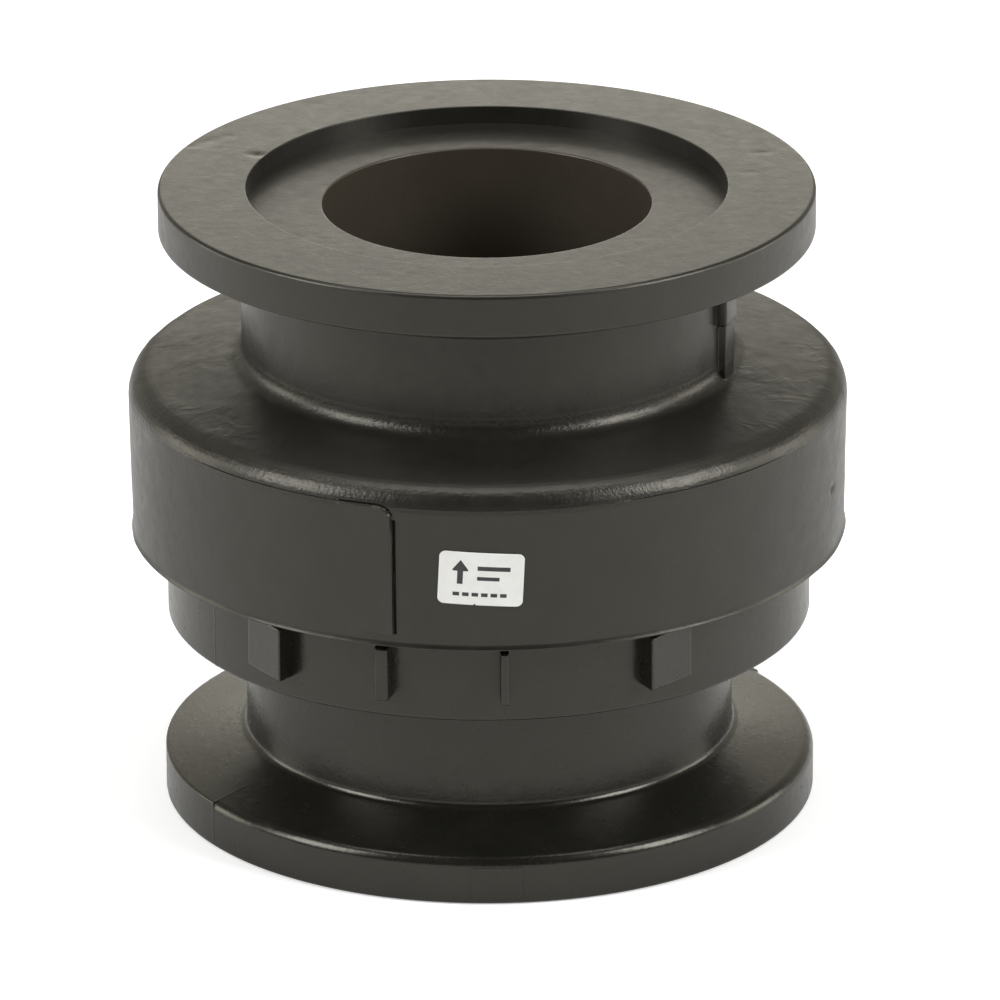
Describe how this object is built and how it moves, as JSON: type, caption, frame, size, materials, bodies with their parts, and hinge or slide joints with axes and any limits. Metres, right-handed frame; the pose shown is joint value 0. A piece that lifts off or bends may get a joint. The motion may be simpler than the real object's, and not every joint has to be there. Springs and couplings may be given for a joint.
{
  "type": "flanged non-return valve",
  "caption": "Spring-loaded poppet check valve with clamp flanges and gasket recesses at both ends, round barrel and spanner collar, in black plastic.",
  "frame": {"origin": "on the valve's axis, at the inlet flange's face, which it stands on", "axes": "+Z along the axis in the flow's direction, from inlet to outlet; -Y faces the label's side"},
  "size_m": [0.0558, 0.0559, 0.0495],
  "materials": {
    "housing_plastic": "black moulded polypropylene, fine matte grain",
    "fitting_plastic": "black moulded polypropylene, smooth and slightly glossy",
    "label": "pale printed sticker",
    "seal_rubber": "black elastomer",
    "guide_plastic": "black moulded plastic",
    "poppet_plastic": "black moulded plastic",
    "steel": "stainless steel",
    "spring_steel": "drawn stainless wire",
    "brass": "turned brass"
  },
  "bodies": {
    "casing": {"upper_housing": "housing_plastic", "end_fitting": "fitting_plastic", "label": "label", "body_o_ring": "seal_rubber", "guide_spider": "guide_plastic", "spider_snap_ring": "steel", "upper_spring_washer": "steel", "spring": "spring_steel"},
    "poppet": {"lower_spring_washer": "steel", "poppet": "poppet_plastic", "poppet_insert": "brass", "poppet_seal": "seal_rubber", "seal_retainer": "steel", "lock_washer": "steel", "retainer_screw": "steel"}
  },
  "joints": [
    {"name": "poppet_lift", "type": "slide", "parent": "casing", "child": "poppet", "axis": [0, 0, 1], "range_m": [0, 0.0055], "stiffness_N_per_m": 632, "springref_m": -0.00584, "deforming": ["spring"]}
  ]
}
